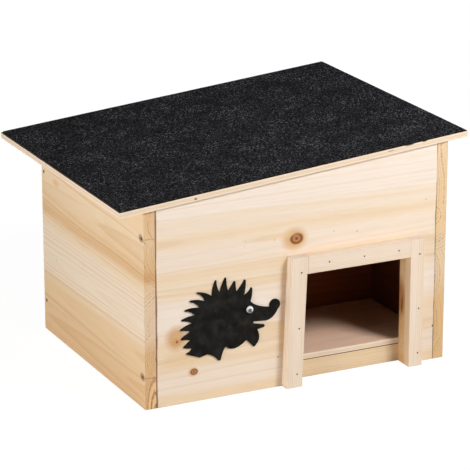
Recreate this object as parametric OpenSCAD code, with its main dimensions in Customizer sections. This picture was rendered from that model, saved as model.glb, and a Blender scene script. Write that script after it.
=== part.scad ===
// Hedgehog house: softwood boards nailed into a box, with a sloping felted roof
// that lifts on two hinges, a framed entrance and a baffle wall inside.
// Millimetres. X runs across the front, Y from front to back, Z up.
// The origin is on the ground, under the middle of the outline seen from above.

/* [Walls] */
// Outside width of the house across the front
house_w = 460; // [430:1:520]
// Outside depth of the house from front to back
house_d = 358; // [320:1:420]
// Height of the left wall at its outer face
left_h = 278; // [255:1:310]
// Height of the right wall at its outer face
right_h = 319; // [295:1:355]
// Thickness of the wall boards
wall_t = 16; // [13:0.5:20]

/* [Roof] */
// Thickness of the plywood roof board
roof_t = 8; // [6:0.5:12]
// Thickness of the roofing felt
felt_t = 1.5; // [1:0.1:3]
// Bare strip of plywood at the left edge of the felt
felt_inset_left = 3; // [0:0.5:10]
// Bare strip of plywood at the right edge of the felt
felt_inset_right = 0.5; // [0:0.5:10]
// Bare strip of plywood at the front and back edges of the felt
felt_inset_end = 0.5; // [0:0.5:10]
// Overhang of the roof board past the front
overhang_front = 4; // [0:1:50]
// Overhang of the roof board past the back
overhang_back = 67; // [10:1:80]
// Overhang of the roof board past the left wall
overhang_left = 35; // [10:1:70]
// Overhang of the roof board past the right wall, above the hinges
overhang_right = 29; // [17:1:40]
// Gap between the closed roof and the tops of the walls
lid_gap = 0.3; // [0.2:0.1:1]

/* [Entrance] */
// Width of the opening in the front panel
opening_w = 168; // [140:1:185]
// Height of the opening in the front panel
opening_h = 162; // [130:1:190]
// Distance from the right side of the house to the opening
opening_right = 63; // [55:1:90]
// Thickness of the jambs and the lintel
frame_t = 14; // [8:0.5:17]
// Face width of the left jamb
jamb_left_w = 24; // [16:1:30]
// Face width of the right jamb
jamb_right_w = 21; // [16:1:30]
// Face height of the lintel
lintel_h = 25; // [16:1:35]
// How far the head of the left jamb leans towards the opening
jamb_lean = 7.5; // [0:0.5:10]

/* [Floor and baffle] */
// Thickness of the plywood floor
floor_t = 9; // [5:0.5:12]
// Gap between the floor's edges and the walls
floor_gap = 0.5; // [0.2:0.1:2]
// Height of the floor battens
batten_h = 25; // [23:1:40]
// Width of the floor battens
batten_w = 20; // [14:1:35]
// Distance from the front of the house to the baffle
baffle_y = 178; // [140:1:200]
// Width of the passage past the end of the baffle
passage_w = 130; // [110:1:170]
// Air gap between the top of the baffle and the roof
baffle_drop = 10; // [2:1:60]

/* [Hedgehog figure] */
// Radius of the figure's round body
hog_r = 47; // [35:1:55]
// Height of the middle of its body above the ground
hog_z = 104; // [85:1:140]
// Gap between its nose and the left jamb
hog_gap = 4; // [1:0.5:15]
// Thickness of the felt that it is cut from
hog_t = 1.5; // [1:0.1:3]
// Number of spines along its back
spine_count = 13; // [9:1:19]
// Diameter of the wobble eye
eye_d = 10; // [8:0.5:14]
// Thickness of the eye's backing disc
eye_back_t = 0.8; // [0.5:0.1:1.5]
// Thickness of the eye's clear dome
eye_wall = 0.4; // [0.3:0.1:0.8]
// Rise of the crown of the dome above its side
eye_crown = 1.2; // [0.6:0.1:2]
// Diameter of the loose pupil
pupil_d = 6; // [3:0.5:6.5]
// Thickness of the loose pupil
pupil_t = 0.5; // [0.3:0.1:1]
// Room round the pupil inside the dome
pupil_play = 0.2; // [0.1:0.05:0.5]

/* [Hinges] */
// Length of each hinge along its pin
hinge_l = 40; // [30:1:60]
// Distance from the front and back of the house to the middle of each hinge
hinge_inset = 70; // [45:1:110]
// Reach of a leaf from the middle of the pin
leaf_w = 12.5; // [11:0.5:13.5]
// Thickness of the leaves
leaf_t = 1.2; // [0.8:0.1:1.4]
// Outside diameter of the knuckles
knuckle_d = 5; // [4.8:0.1:6]
// Diameter of the hinge pin
pin_d = 2.6; // [2:0.1:2.8]
// Radial clearance of the pin in the knuckles
pin_fit = 0.05; // [0.02:0.01:0.1]
// Thickness of the heads of the pin
pin_head_t = 0.8; // [0.5:0.1:1.5]
// Gap between the knuckles, and between a knuckle and the wood
knuckle_gap = 0.3; // [0.2:0.05:0.5]
// Distance between the two screws of a leaf
screw_pitch = 26; // [14:1:28]
// Distance from the middle of the pin to the screws
screw_reach = 7.5; // [6.5:0.5:8.5]

/* [Fasteners] */
// Diameter of the nails
nail_d = 2.2; // [1.6:0.1:3]
// Diameter of the nail heads
nail_head_d = 4; // [3.4:0.1:5.5]
// Thickness of the nail heads
nail_head_t = 0.8; // [0.5:0.1:1.2]
// Depth to which the heads are driven below the surface
nail_sink = 0.4; // [0.1:0.1:1]
// Depth that a nail reaches into the end of a board or into a batten
nail_bite = 22; // [14:1:22]
// Depth that a nail or a brad reaches into the face of a panel
face_bite = 10; // [6:1:11]
// Height of the lower wall nails above the ground
nail_low = 45; // [42:1:80]
// Distance from the top of a wall to its upper nails
nail_top = 38; // [30:1:80]
// Distance by which the floor's nails stand beside those of the battens
nail_stagger = 12; // [8:1:20]
// Diameter of the brads
brad_d = 1.2; // [0.8:0.1:1.6]
// Diameter of the brad heads
brad_head_d = 2; // [1.8:0.1:3]
// Distance from the ground to the lowest brad of a jamb
brad_low = 19; // [10:1:40]
// Distance from the ground to the middle brad of a jamb
brad_mid = 85; // [60:1:110]
// Distance from the head of a jamb to its highest brad
brad_top = 22; // [6:1:40]
// Distance from the middle of a jamb to its brads, towards the right
brad_off = 3.5; // [0:0.5:5]
// Distance from the left end of the lintel to its first brad
lintel_brad_left = 33; // [10:1:50]
// Distance from the right end of the lintel to its last brad
lintel_brad_right = 19; // [10:1:50]
// Diameter of the hinge screws
screw_d = 2.4; // [1.8:0.1:2.8]
// Diameter of the screw heads
screw_head_d = 4.6; // [3.6:0.1:5.2]
// Depth that a hinge screw reaches into the wall
screw_bite_wall = 11; // [6:0.5:12]
// Depth that a hinge screw reaches into the roof board
screw_bite_roof = 5; // [3:0.5:5.5]
// Width of the cross slots in the screw heads
slot_w = 0.6; // [0.4:0.1:0.8]
// Clearance round nails, brads and screws in their holes
fix_fit = 0.05; // [0.02:0.01:0.1]

/* [Hidden] */
$fn = 48;
// Length by which a cut runs past the surface it cuts
cut = 1;

// Roof slope and the house's place, with the roof and the door frame centred on the origin
slope = (right_h - left_h) / house_w;
slope_deg = atan(slope);
roof_left = -overhang_left - max(roof_t, roof_t + felt_t - felt_inset_left / tan(slope_deg)) * sin(slope_deg);
roof_right = house_w + overhang_right;
house_x = -(roof_left + roof_right) / 2;
house_y = -(house_d + overhang_back - max(overhang_front, frame_t)) / 2;
roof_l = (overhang_left + house_w + overhang_right) / cos(slope_deg);
roof_depth = overhang_front + house_d + overhang_back;

// Heights of the wall tops and levels inside
function wall_top(x) = left_h + slope * x;
inner_left = wall_t;
inner_right = house_w - wall_t;
inner_front = wall_t;
inner_back = house_d - wall_t;
inner_w = inner_right - inner_left;
inner_d = inner_back - inner_front;
floor_top = batten_h + floor_t;
baffle_left = inner_left + passage_w;

// Entrance frame
opening_x1 = house_w - opening_right;
opening_x0 = opening_x1 - opening_w;
jamb_h = opening_h + lintel_h;
function lean_at(z) = jamb_lean * z / jamb_h;
lintel_left = opening_x0 + lean_at(jamb_h);
brad_heights = [brad_low, brad_mid, jamb_h - brad_top];
lintel_brad_xs = [lintel_left + lintel_brad_left,
    (lintel_left + lintel_brad_left + opening_x1 - lintel_brad_right) / 2,
    opening_x1 - lintel_brad_right];

// Hinge pin: as far from the wall's face as from the roof's underside
pin_off = knuckle_d / 2 + knuckle_gap;
pin_x = house_w + pin_off;
roof_z0 = left_h + lid_gap / cos(slope_deg);
pin_z = roof_z0 + slope * pin_x - pin_off / cos(slope_deg);
pin_roof_x = pin_x * cos(slope_deg) + (pin_z - roof_z0) * sin(slope_deg);
knuckle_l = (hinge_l - 2 * knuckle_gap) / 3;
hinge_ys = [hinge_inset, house_d - hinge_inset];
screw_ys = [for (y = hinge_ys) for (s = [-1, 1]) y + s * screw_pitch / 2];

// Nails: points where they enter the wood
nail_ys = [wall_t / 2, house_d - wall_t / 2];
left_nail_points = [for (y = nail_ys) for (z = [nail_low, left_h - nail_top]) [0, y, z]];
right_nail_points = [for (y = nail_ys) for (z = [nail_low, right_h - nail_top]) [house_w, y, z]];
baffle_mid_y = baffle_y + wall_t / 2;
baffle_side_points = [for (z = [2 * nail_low, right_h - 2 * nail_top]) [house_w, baffle_mid_y, z]];
baffle_floor_xs = [baffle_left + nail_low, inner_right - nail_low];
front_batten_xs = [inner_left + nail_low, opening_x0 - nail_low, (opening_x1 + inner_right) / 2];
back_batten_xs = [inner_left + nail_low, house_w / 2, inner_right - nail_low];
floor_nail_points = concat(
    [for (x = front_batten_xs) [x + nail_stagger, inner_front + batten_w / 2, floor_top]],
    [for (x = back_batten_xs) [x + nail_stagger, inner_back - batten_w / 2, floor_top]]);

// Point of the figure from the middle of its body, in shares of the body radius
function at(x, z) = hog_r * [x, z];

// Sizes of the figure
spine_reach = 1.41 * hog_r;
spine_short = 0.11 * hog_r;
nose_r = 0.175 * hog_r;
nose_c = at(1.59, 0.36);
mouth_r = 0.035 * hog_r;
mouth_c = at(0.93, -0.085);
lip_r = 0.045 * hog_r;
lip_c = at(1.22, -0.23);
paw_r = 0.05 * hog_r;
paw_c = at(0.93, -0.77);
foot_r = 0.055 * hog_r;
foot_c = at(-0.19, -1.02);
eye_c = at(0.78, 0.34);
hog_x = opening_x0 - jamb_left_w - hog_gap - nose_c.x - nose_r;
eye_x = hog_x + eye_c.x;
eye_z = hog_z + eye_c.y;
pupil_drop = eye_d / 2 - eye_wall - pupil_play - pupil_d / 2;
eye_side = pupil_t + 2 * pupil_play;

// Point on a curve from a to c that is drawn towards b
function bow(a, b, c, t) = (1 - t) * (1 - t) * a + 2 * t * (1 - t) * b + t * t * c;
function bow_points(a, b, c, n) = [for (i = [1:n]) bow(a, b, c, i / n)];
function polar(r, a) = [r * cos(a), r * sin(a)];
function round_points(c, r, a0, a1, n) = [for (i = [0:n]) c + polar(r, a0 + (a1 - a0) * i / n)];

// Spines, counted from the rump to the brow, stand between notches that lie closer at the rump
spine_first_deg = 221;
spine_last_deg = 36;
crowding_share = 0.9;
swell_share = 0.27;
function spread(t) = crowding_share * t + (1 - crowding_share) * t * t * t;
function notch_deg(i) = spine_first_deg - (spine_first_deg - spine_last_deg) * spread(i / spine_count);
function notch_r(i) = hog_r * (1 + swell_share * pow(1 - i / spine_count, 4));
function notch(i) = polar(notch_r(i), notch_deg(i));

// Those of the back lean down more and more, those of the crest lean forward less and less
crest_share = 0.38;
blunt_share = 0.06;
curl_share = 0.25;
crest_count = round(spine_count * crest_share);
back_count = spine_count - crest_count;
function spine_lean(i) = i < back_count ? 0.15 + 0.9 * pow(i / (back_count - 1), 0.6)
    : 0.18 + 0.62 * (i - back_count) / (crest_count - 1);
function is_short(i) = i > back_count && (i - back_count) % 2 == 0;
function spine_long(i) = is_short(i) ? spine_reach - spine_short : spine_reach;
function spine_point(i, f, r) = polar(r, notch_deg(i + 1) + f * (notch_deg(i) - notch_deg(i + 1)));
function spine_tip(i, side) = spine_point(i, spine_lean(i) + side * blunt_share, spine_long(i));
function spine_side(i, f) = spine_point(i, (f + spine_lean(i)) / 2 - curl_share * (2 * spine_lean(i) - 1),
    (notch_r(i) + spine_long(i)) / 2);
function spine_rise(i) = bow_points(notch(i), spine_side(i, 1), spine_tip(i, 1), 4);
function spine_fall(i) = concat([spine_tip(i, -1)],
    bow_points(spine_tip(i, -1), spine_side(i, 0), notch(i + 1), 4));

// Outline of the figure: spines from the rump over the back, then head, paws and belly
brow = notch(spine_count);
snout_top = nose_c + polar(nose_r, 195);
snout_low = nose_c + polar(nose_r, -55);
mouth_top = at(1.31, -0.085);
throat = at(1.03, -0.31);
armpit = at(0.68, -0.58);
groin = at(0.01, -0.68);
heel = at(-0.57, -0.82);
tail = at(-0.81, -0.88);
hog_outline = concat(
    [tail, spine_tip(0, 1)],
    spine_fall(0),
    [for (i = [1:spine_count - 1]) each concat(spine_rise(i), spine_fall(i))],
    bow_points(brow, at(0.97, 0.38), snout_top, 8),
    round_points(nose_c, nose_r, 175, -55, 11),
    bow_points(snout_low, at(1.56, -0.06), mouth_top, 6),
    round_points(mouth_c, mouth_r, 95, 260, 6),
    round_points(lip_c, lip_r, 100, -80, 6),
    [throat],
    bow_points(throat, at(1.18, -0.60), paw_c + polar(paw_r, -15), 6),
    round_points(paw_c, paw_r, -45, -135, 3),
    bow_points(paw_c + polar(paw_r, -135), at(0.76, -0.66), armpit, 3),
    bow_points(armpit, at(0.27, -0.92), groin, 6),
    bow_points(groin, at(-0.08, -0.78), foot_c + polar(foot_r, 5), 4),
    round_points(foot_c, foot_r, -25, -145, 4),
    bow_points(foot_c + polar(foot_r, -145), at(-0.33, -0.90), heel, 4));

// Places a child that is drawn from the house's left front corner on the ground
module in_house() {
    translate([house_x, house_y, 0]) children();
}

// Places a child that is drawn on the roof board's underside, from above the left wall's face
module on_roof() {
    in_house() translate([0, 0, roof_z0]) rotate([0, -slope_deg, 0]) children();
}

// Extrudes an outline drawn in X and Z backwards from the plane at y
module upright(y, t) {
    translate([0, y + t, 0]) rotate([90, 0, 0]) linear_extrude(t) children();
}

// Aim a fastener, drawn along +Z with its head at the origin
module driven_right(p) {
    translate(p) rotate([0, 90, 0]) children();
}
module driven_left(p) {
    translate(p) rotate([0, -90, 0]) children();
}
module driven_back(p) {
    translate(p) rotate([-90, 0, 0]) children();
}
module driven_forward(p) {
    translate(p) rotate([90, 0, 0]) children();
}
module driven_down(p) {
    translate(p) rotate([180, 0, 0]) children();
}

// Nail or brad: a flat head below the surface, a shank and a point
module pin_nail(d, head_d, l) {
    point_l = 2 * d;
    translate([0, 0, nail_sink]) cylinder(d = head_d, h = nail_head_t);
    translate([0, 0, nail_sink]) cylinder(d = d, h = l - nail_sink - point_l);
    translate([0, 0, l - point_l]) cylinder(d1 = d, d2 = d / 4, h = point_l);
}
module pin_nail_hole(d, head_d, l) {
    translate([0, 0, -cut]) cylinder(d = head_d + 2 * fix_fit, h = cut + nail_sink + nail_head_t);
    cylinder(d = d + 2 * fix_fit, h = l + fix_fit);
}
module nail(l) {
    pin_nail(nail_d, nail_head_d, l);
}
module nail_hole(l) {
    pin_nail_hole(nail_d, nail_head_d, l);
}
module brad() {
    pin_nail(brad_d, brad_head_d, frame_t + face_bite);
}
module brad_hole() {
    pin_nail_hole(brad_d, brad_head_d, frame_t + face_bite);
}

// Countersunk screw, flush with the leaf that it holds
module screw(bite) {
    point_l = screw_d;
    difference() {
        union() {
            cylinder(d1 = screw_head_d, d2 = screw_d, h = leaf_t);
            translate([0, 0, leaf_t]) cylinder(d = screw_d, h = bite - point_l);
            translate([0, 0, leaf_t + bite - point_l]) cylinder(d1 = screw_d, d2 = screw_d / 4, h = point_l);
        }
        for (a = [0, 90]) rotate([0, 0, a])
            translate([-screw_d / 2, -slot_w / 2, -cut]) cube([screw_d, slot_w, cut + leaf_t / 2]);
    }
}
module screw_hole(bite) {
    cylinder(d1 = screw_head_d + 2 * fix_fit, d2 = screw_d + 2 * fix_fit, h = leaf_t);
    cylinder(d = screw_d + 2 * fix_fit, h = leaf_t + bite + fix_fit);
}

// Each set of fasteners and their holes, at the same places
module at_left_nails() {
    for (p = left_nail_points) driven_right(p) children();
}
module at_right_nails() {
    for (p = right_nail_points) driven_left(p) children();
}
module at_baffle_side() {
    for (p = baffle_side_points) driven_left(p) children();
}
module at_baffle_floor() {
    for (x = baffle_floor_xs) translate([x, baffle_mid_y, batten_h]) children();
}
module at_front_batten() {
    for (x = front_batten_xs) driven_forward([x, inner_front + batten_w, batten_h / 2]) children();
}
module at_back_batten() {
    for (x = back_batten_xs) driven_back([x, inner_back - batten_w, batten_h / 2]) children();
}
module at_floor_nails() {
    for (p = floor_nail_points) driven_down(p) children();
}
module at_left_jamb() {
    for (z = brad_heights)
        driven_back([opening_x0 - jamb_left_w / 2 + brad_off + lean_at(z), -frame_t, z]) children();
}
module at_right_jamb() {
    for (z = brad_heights) driven_back([opening_x1 + jamb_right_w / 2 + brad_off, -frame_t, z]) children();
}
module at_lintel() {
    for (x = lintel_brad_xs) driven_back([x, -frame_t, opening_h + lintel_h / 2]) children();
}
module at_wall_screws() {
    for (y = screw_ys) driven_left([house_w + leaf_t, y, pin_z - screw_reach]) children();
}
module at_roof_screws() {
    for (y = screw_ys) translate([pin_roof_x + screw_reach, y, -leaf_t]) children();
}

// Lengths of the nails
wall_nail_l = wall_t + nail_bite;
floor_nail_l = floor_t + nail_bite;
batten_nail_l = batten_w + face_bite;

module left_wall() {
    color("burlywood") in_house() difference() {
        upright(0, house_d)
            polygon([[0, 0], [inner_left, 0], [inner_left, wall_top(inner_left)], [0, wall_top(0)]]);
        at_left_nails() nail_hole(wall_nail_l);
    }
}

module right_wall() {
    color("burlywood") in_house() difference() {
        upright(0, house_d)
            polygon([[inner_right, 0], [house_w, 0], [house_w, wall_top(house_w)],
                [inner_right, wall_top(inner_right)]]);
        at_right_nails() nail_hole(wall_nail_l);
        at_baffle_side() nail_hole(wall_nail_l);
        at_wall_screws() screw_hole(screw_bite_wall);
    }
}

module front_panel() {
    color("wheat") in_house() difference() {
        upright(0, wall_t)
            polygon([[inner_left, 0], [opening_x0, 0], [opening_x0, opening_h], [opening_x1, opening_h],
                [opening_x1, 0], [inner_right, 0], [inner_right, wall_top(inner_right)],
                [inner_left, wall_top(inner_left)]]);
        at_left_nails() nail_hole(wall_nail_l);
        at_right_nails() nail_hole(wall_nail_l);
        at_front_batten() nail_hole(batten_nail_l);
        at_left_jamb() brad_hole();
        at_right_jamb() brad_hole();
        at_lintel() brad_hole();
    }
}

module back_panel() {
    color("wheat") in_house() difference() {
        upright(inner_back, wall_t)
            polygon([[inner_left, 0], [inner_right, 0], [inner_right, wall_top(inner_right)],
                [inner_left, wall_top(inner_left)]]);
        at_left_nails() nail_hole(wall_nail_l);
        at_right_nails() nail_hole(wall_nail_l);
        at_back_batten() nail_hole(batten_nail_l);
    }
}

module floor_board() {
    color("tan") in_house() difference() {
        translate([inner_left + floor_gap, inner_front + floor_gap, batten_h])
            cube([inner_w - 2 * floor_gap, inner_d - 2 * floor_gap, floor_t]);
        at_floor_nails() nail_hole(floor_nail_l);
        at_baffle_floor() nail_hole(floor_nail_l);
    }
}

module floor_batten_front() {
    color("peru") in_house() difference() {
        translate([inner_left, inner_front, 0]) cube([inner_w, batten_w, batten_h]);
        at_front_batten() nail_hole(batten_nail_l);
        at_floor_nails() nail_hole(floor_nail_l);
    }
}

module floor_batten_back() {
    color("peru") in_house() difference() {
        translate([inner_left, inner_back - batten_w, 0]) cube([inner_w, batten_w, batten_h]);
        at_back_batten() nail_hole(batten_nail_l);
        at_floor_nails() nail_hole(floor_nail_l);
    }
}

module baffle_wall() {
    color("sandybrown") in_house() difference() {
        upright(baffle_y, wall_t)
            polygon([[baffle_left, floor_top], [inner_right, floor_top],
                [inner_right, wall_top(inner_right) - baffle_drop],
                [baffle_left, wall_top(baffle_left) - baffle_drop]]);
        at_baffle_side() nail_hole(wall_nail_l);
        at_baffle_floor() nail_hole(floor_nail_l);
    }
}

module door_jamb_left() {
    color("bisque") in_house() difference() {
        upright(-frame_t, frame_t)
            polygon([[opening_x0 - jamb_left_w, 0], [opening_x0, 0], [lintel_left, jamb_h],
                [lintel_left - jamb_left_w, jamb_h]]);
        at_left_jamb() brad_hole();
    }
}

module door_jamb_right() {
    color("bisque") in_house() difference() {
        translate([opening_x1, -frame_t, 0]) cube([jamb_right_w, frame_t, jamb_h]);
        at_right_jamb() brad_hole();
    }
}

module door_lintel() {
    color("bisque") in_house() difference() {
        upright(-frame_t, frame_t)
            polygon([[opening_x0 + lean_at(opening_h), opening_h], [opening_x1, opening_h],
                [opening_x1, jamb_h], [lintel_left, jamb_h]]);
        at_lintel() brad_hole();
    }
}

module roof_board() {
    color("navajowhite") on_roof() difference() {
        translate([-overhang_left / cos(slope_deg), -overhang_front, 0]) cube([roof_l, roof_depth, roof_t]);
        at_roof_screws() screw_hole(screw_bite_roof);
    }
}

module roof_felt() {
    color("dimgray") on_roof()
        translate([felt_inset_left - overhang_left / cos(slope_deg), felt_inset_end - overhang_front, roof_t])
            cube([roof_l - felt_inset_left - felt_inset_right, roof_depth - 2 * felt_inset_end, felt_t]);
}

module hedgehog_cutout() {
    color("black") in_house() translate([hog_x, 0, hog_z])
        upright(-hog_t, hog_t) polygon(hog_outline);
}

// Places a part of the eye, drawn along +Z from the felt's face
module at_eye() {
    in_house() driven_forward([eye_x, -hog_t, eye_z]) children();
}

module eye_backing() {
    color("white") at_eye() cylinder(d = eye_d, h = eye_back_t);
}

module eye_pupil() {
    color("black") at_eye() translate([0, -pupil_drop, eye_back_t + pupil_play])
        cylinder(d = pupil_d, h = pupil_t);
}

// Half profile of a dome of radius r: a straight side and a crown that is part of a circle
crown_steps = 10;
function crown_r(r, crown) = (r * r + crown * crown) / (2 * crown);
function dome_profile(r, side, crown) = let (big_r = crown_r(r, crown), a = asin(r / big_r) / crown_steps)
    [for (i = [0:crown_steps]) [big_r * sin(a * i), side + crown - big_r + big_r * cos(a * i)]];

module eye_dome() {
    inner_r = eye_d / 2 - eye_wall;
    outer = dome_profile(eye_d / 2, eye_side + eye_wall, eye_crown);
    inner = dome_profile(inner_r, eye_side, eye_crown);
    color("lightcyan") at_eye() translate([0, 0, eye_back_t]) rotate_extrude()
        polygon(concat(outer, [[eye_d / 2, 0], [inner_r, 0]], [for (i = [crown_steps:-1:0]) inner[i]]));
}

// One hinge leaf with its knuckles along +Y, its plate along +X and its back on the plane z = 0
module hinge_leaf(knuckle_ys) {
    difference() {
        union() {
            translate([pin_off, -hinge_l / 2, -leaf_t]) cube([leaf_w - pin_off, hinge_l, leaf_t]);
            for (y = knuckle_ys) translate([0, y, 0]) {
                translate([0, 0, -leaf_t]) cube([pin_off, knuckle_l, leaf_t]);
                translate([0, 0, -pin_off]) rotate([-90, 0, 0]) cylinder(d = knuckle_d, h = knuckle_l);
            }
        }
        translate([0, -hinge_l / 2 - cut, -pin_off]) rotate([-90, 0, 0])
            cylinder(d = pin_d + 2 * pin_fit, h = hinge_l + 2 * cut);
        for (s = [-1, 1]) translate([screw_reach, s * screw_pitch / 2, -leaf_t]) screw_hole(leaf_t);
    }
}
end_knuckle_ys = [-hinge_l / 2, hinge_l / 2 - knuckle_l];
mid_knuckle_ys = [-knuckle_l / 2];

module wall_leaf(y) {
    color("silver") in_house() translate([house_w, y, pin_z]) rotate([0, 90, 0])
        mirror([0, 0, 1]) hinge_leaf(end_knuckle_ys);
}
module roof_leaf(y) {
    color("gainsboro") on_roof() translate([pin_roof_x, y, 0]) hinge_leaf(mid_knuckle_ys);
}
module hinge_pin(y) {
    color("slategray") in_house() translate([pin_x, y - hinge_l / 2, pin_z]) rotate([-90, 0, 0]) {
        cylinder(d = pin_d, h = hinge_l);
        translate([0, 0, -pin_head_t]) cylinder(d = knuckle_d, h = pin_head_t);
        translate([0, 0, hinge_l]) cylinder(d = knuckle_d, h = pin_head_t);
    }
}

module hinge_front_wall_leaf() {
    wall_leaf(hinge_ys[0]);
}
module hinge_front_roof_leaf() {
    roof_leaf(hinge_ys[0]);
}
module hinge_front_pin() {
    hinge_pin(hinge_ys[0]);
}
module hinge_back_wall_leaf() {
    wall_leaf(hinge_ys[1]);
}
module hinge_back_roof_leaf() {
    roof_leaf(hinge_ys[1]);
}
module hinge_back_pin() {
    hinge_pin(hinge_ys[1]);
}

module hinge_wall_screws() {
    color("lightslategray") in_house() at_wall_screws() screw(screw_bite_wall);
}
module hinge_roof_screws() {
    color("lightslategray") on_roof() at_roof_screws() screw(screw_bite_roof);
}
module left_wall_nails() {
    color("gray") in_house() at_left_nails() nail(wall_nail_l);
}
module right_wall_nails() {
    color("gray") in_house() at_right_nails() nail(wall_nail_l);
}
module door_frame_brads() {
    color("gray") in_house() {
        at_left_jamb() brad();
        at_right_jamb() brad();
        at_lintel() brad();
    }
}
module floor_nails() {
    color("gray") in_house() at_floor_nails() nail(floor_nail_l);
}
module batten_nails() {
    color("gray") in_house() {
        at_front_batten() nail(batten_nail_l);
        at_back_batten() nail(batten_nail_l);
    }
}
module baffle_nails() {
    color("gray") in_house() {
        at_baffle_side() nail(wall_nail_l);
        at_baffle_floor() nail(floor_nail_l);
    }
}

left_wall();
right_wall();
front_panel();
back_panel();
floor_board();
floor_batten_front();
floor_batten_back();
baffle_wall();
door_jamb_left();
door_jamb_right();
door_lintel();
roof_board();
roof_felt();
hedgehog_cutout();
eye_backing();
eye_pupil();
eye_dome();
hinge_front_wall_leaf();
hinge_front_roof_leaf();
hinge_front_pin();
hinge_back_wall_leaf();
hinge_back_roof_leaf();
hinge_back_pin();
hinge_wall_screws();
hinge_roof_screws();
left_wall_nails();
right_wall_nails();
door_frame_brads();
floor_nails();
batten_nails();
baffle_nails();
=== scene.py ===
# %% [markdown]
# # A hedgehog house
# The house is a box of softwood boards, nailed at the corners, under a sloping
# plywood roof with mineral felt. A framed entrance leads into a front room, and a
# baffle wall keeps draughts and paws from the nest behind it.
# The CAD solids already have the true sizes, nail holes and hinges, so they stay.
# This lesson gives them wood, felt, plastic and metal, and it models anew only the
# pieces whose surface is softer or rounder than their solid.

# %% Load the CAD frame
import math

import bmesh
import bpy
from mathutils import Euler, Matrix, Vector, noise


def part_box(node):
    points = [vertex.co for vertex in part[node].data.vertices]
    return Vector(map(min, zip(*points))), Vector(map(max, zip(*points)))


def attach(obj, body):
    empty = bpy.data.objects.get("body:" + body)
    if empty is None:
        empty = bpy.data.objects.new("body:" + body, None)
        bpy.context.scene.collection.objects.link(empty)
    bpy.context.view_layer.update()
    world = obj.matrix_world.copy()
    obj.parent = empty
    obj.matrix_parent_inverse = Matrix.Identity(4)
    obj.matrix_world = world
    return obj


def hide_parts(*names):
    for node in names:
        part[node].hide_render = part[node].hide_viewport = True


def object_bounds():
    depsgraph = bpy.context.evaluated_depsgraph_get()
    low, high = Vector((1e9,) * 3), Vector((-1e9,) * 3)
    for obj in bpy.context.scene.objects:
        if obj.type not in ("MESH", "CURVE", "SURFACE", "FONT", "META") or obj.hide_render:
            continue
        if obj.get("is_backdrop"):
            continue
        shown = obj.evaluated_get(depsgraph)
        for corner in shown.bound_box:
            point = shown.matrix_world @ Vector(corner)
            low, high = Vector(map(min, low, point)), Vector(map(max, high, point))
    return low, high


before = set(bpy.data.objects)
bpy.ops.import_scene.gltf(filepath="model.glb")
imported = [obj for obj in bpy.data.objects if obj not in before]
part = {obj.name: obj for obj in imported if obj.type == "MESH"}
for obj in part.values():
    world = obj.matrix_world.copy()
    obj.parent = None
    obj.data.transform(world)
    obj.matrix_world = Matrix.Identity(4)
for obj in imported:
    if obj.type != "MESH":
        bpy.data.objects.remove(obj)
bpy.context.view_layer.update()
MM = 1000.0  # millimetres in a metre

# %% [markdown]
# ## Camera
# The photograph was taken from the front left, a little above the roof, through a
# long lens. Its place was solved from the edges of the boards, so it is written here
# as numbers, in metres and radians, rather than aimed by eye.

# %% Camera
scene = bpy.context.scene
lens = bpy.data.cameras.new("photo_camera")
lens.lens = 196.2
lens.sensor_width = 36.0
camera = bpy.data.objects.new("photo_camera", lens)
tilt_down, turn_right = 0.3163, 0.4538
camera.location = (-1.5182, -3.1269, 1.2921)
camera.rotation_euler = (math.pi / 2 - tilt_down, 0.0, -turn_right)
scene.collection.objects.link(camera)
scene.camera = camera
scene.view_settings.view_transform = "Standard"
print("camera", round(camera.location.length, 2), "m from the origin")

# %% [markdown]
# ## Colours and nodes
# A colour is written as the hex code that a paint program shows, and Blender works
# with light, so one function turns the code into linear values. A second function
# adds one node with its settings and its links; every material below is made of
# calls to it, which keeps a long node tree readable from top to bottom.

# %% Helpers for materials
def linear(code):
    channels = [int(code[i:i + 2], 16) / 255 for i in (1, 3, 5)]
    return (*[c / 12.92 if c <= 0.04045 else ((c + 0.055) / 1.055) ** 2.4 for c in channels], 1.0)


def wire(tree, kind, *feeds, out=0, named=None, stops=None, **settings):
    """feeds, named: values or sockets for the inputs, by place or by name; stops: of a colour ramp."""
    made = tree.nodes.new("ShaderNode" + kind)
    for setting, value in settings.items():
        setattr(made, setting, value)
    for place, value in [*enumerate(feeds), *(named or {}).items()]:
        if isinstance(value, bpy.types.NodeSocket):
            tree.links.new(value, made.inputs[place])
        elif value is not None:
            made.inputs[place].default_value = value
    for i, (position, code) in enumerate(stops or []):
        ramp = made.color_ramp.elements
        stop = ramp[i] if i < len(ramp) else ramp.new(position)
        stop.position = position
        stop.color = linear(code)
    return made.outputs[out] if made.outputs else made


def blank(name):
    finish = bpy.data.materials.new(name)
    finish.use_nodes = True
    finish.node_tree.nodes.clear()
    return finish, finish.node_tree


print("middle grey #808080 is", round(linear("#808080")[0], 3), "of the light that white gives back")

# %% [markdown]
# ## Light and floor
# A packshot is lit by softboxes. The smallest stands high in front, a little to the
# right, and throws the slanting patch of light on the floor inside. Three broad ones
# stand low, right, left and behind, and fill the shade under the eaves.

# %% Softboxes and world
target = Vector((0.0, -0.05, 0.15))
lamp_distance = 2.4
plain_white = (1.0, 1.0, 1.0, 1.0)


def softbox(name, azimuth, elevation, width, height, power):
    """azimuth: degrees from the front towards the right; elevation: degrees above the target."""
    a, e = math.radians(azimuth), math.radians(elevation)
    lamp = bpy.data.lights.new(name, "AREA")
    lamp.shape = "RECTANGLE"
    lamp.size = width
    lamp.size_y = height
    lamp.energy = power
    box = bpy.data.objects.new(name, lamp)
    away = Vector((math.sin(a) * math.cos(e), -math.cos(a) * math.cos(e), math.sin(e)))
    box.location = target + away * lamp_distance
    box.rotation_euler = away.to_track_quat("Z", "Y").to_euler()
    scene.collection.objects.link(box)


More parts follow.
